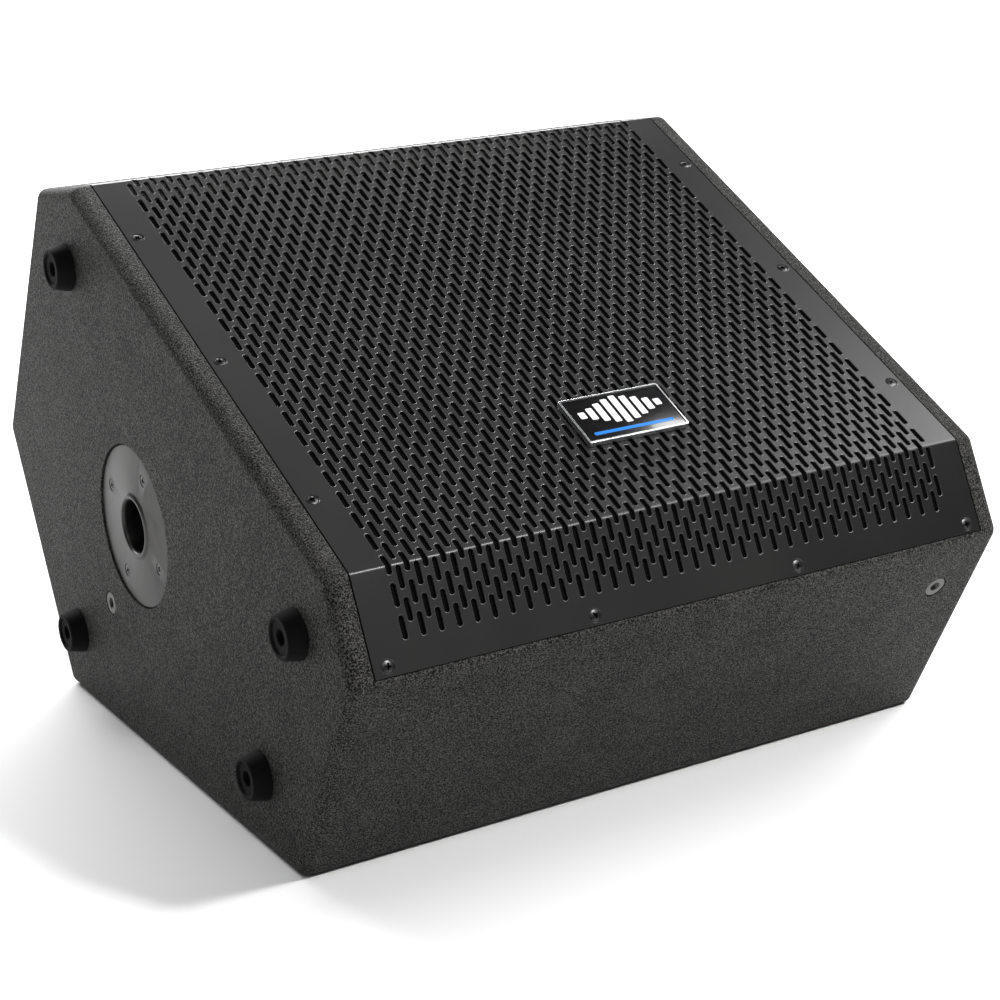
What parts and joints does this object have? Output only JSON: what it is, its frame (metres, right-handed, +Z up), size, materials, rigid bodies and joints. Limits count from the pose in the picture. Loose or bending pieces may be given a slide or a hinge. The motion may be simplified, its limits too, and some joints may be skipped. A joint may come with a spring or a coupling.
{
  "type": "stage monitor wedge",
  "caption": "Black wedge-shaped floor loudspeaker: plywood cabinet, folded slotted steel grille, pole cup and rubber feet on one side, coaxial driver inside.",
  "frame": {"origin": "centre of the flat underside that the wedge rests on", "axes": "+X across the width, towards the side with the handle; -Y towards the listener, where the grille and the nose are; +Z up"},
  "size_m": [0.495, 0.543, 0.3775],
  "materials": {
    "textured_paint": "sprayed textured coat, fine hard speckle, black",
    "raw_plywood": "bare birch plywood, inside the cabinet",
    "powder_coat": "satin black powder coat on steel",
    "foam": "open-cell acoustic foam, black",
    "black_screw": "black zinc screw",
    "rubber": "matt moulded rubber, black",
    "satin_steel": "dark satin coated steel, lightly scratched",
    "zinc": "dull zinc plate",
    "chrome": "bright bezel",
    "gloss_black": "domed gloss black",
    "plastic": "moulded black plastic, fine grain",
    "cast_aluminium": "dark coated casting",
    "paper": "pressed paper cone, doped",
    "cloth": "treated cloth, corrugated",
    "ferrite": "sintered ferrite",
    "titanium": "thin drawn titanium",
    "circuit_board": "green laminate"
  },
  "bodies": {
    "cabinet": {"badge_bezel": "chrome", "badge_plate": "gloss_black", "baffle": "raw_plywood", "bottom_panel": "textured_paint", "connector_plate": "satin_steel", "crossover_board": "circuit_board", "floor_brace": "raw_plywood", "foot_1": "rubber", "foot_2": "rubber", "foot_3": "rubber", "foot_4": "rubber", "foot_screw_1": "black_screw", "foot_screw_2": "black_screw", "foot_screw_3": "black_screw", "foot_screw_4": "black_screw", "front_panel": "textured_paint", "grille": "powder_coat", "grille_foam": "foam", "grille_rail_left": "raw_plywood", "grille_rail_right": "raw_plywood", "grille_screw_1": "black_screw", "grille_screw_10": "black_screw", "grille_screw_2": "black_screw", "grille_screw_3": "black_screw", "grille_screw_4": "black_screw", "grille_screw_5": "black_screw", "grille_screw_6": "black_screw", "grille_screw_7": "black_screw", "grille_screw_8": "black_screw", "grille_screw_9": "black_screw", "handle_dish": "plastic", "handle_grip": "rubber", "hf_cover": "plastic", "hf_horn": "plastic", "hf_motor": "ferrite", "input_socket": "plastic", "link_socket": "plastic", "lower_rear_panel": "textured_paint", "pole_cup": "satin_steel", "pole_cup_screw_1": "black_screw", "pole_cup_screw_2": "black_screw", "pole_cup_screw_3": "black_screw", "pole_cup_screw_4": "black_screw", "port_tube_left": "plastic", "port_tube_right": "plastic", "rigging_insert_front": "zinc", "rigging_insert_left": "zinc", "rigging_insert_right": "zinc", "side_panel_left": "textured_paint", "side_panel_right": "textured_paint", "top_panel": "textured_paint", "upper_rear_panel": "textured_paint", "woofer_back_plate": "zinc", "woofer_basket": "cast_aluminium", "woofer_magnet": "ferrite", "woofer_spider": "cloth", "woofer_surround": "cloth", "woofer_top_plate": "zinc"},
    "cone": {"woofer_cone": "paper"},
    "diaphragm": {"hf_diaphragm": "titanium"}
  },
  "joints": [
    {"name": "cone_travel", "type": "slide", "parent": "cabinet", "child": "cone", "axis": [0, -0.4369, 0.8995], "range_m": [-0.006, 0.006], "stiffness_N_per_m": 3500, "deforming": ["woofer_surround", "woofer_spider"]},
    {"name": "diaphragm_travel", "type": "slide", "parent": "cabinet", "child": "diaphragm", "axis": [0, -0.4369, 0.8995], "range_m": [-0.0004, 0.0004], "stiffness_N_per_m": 6000}
  ]
}
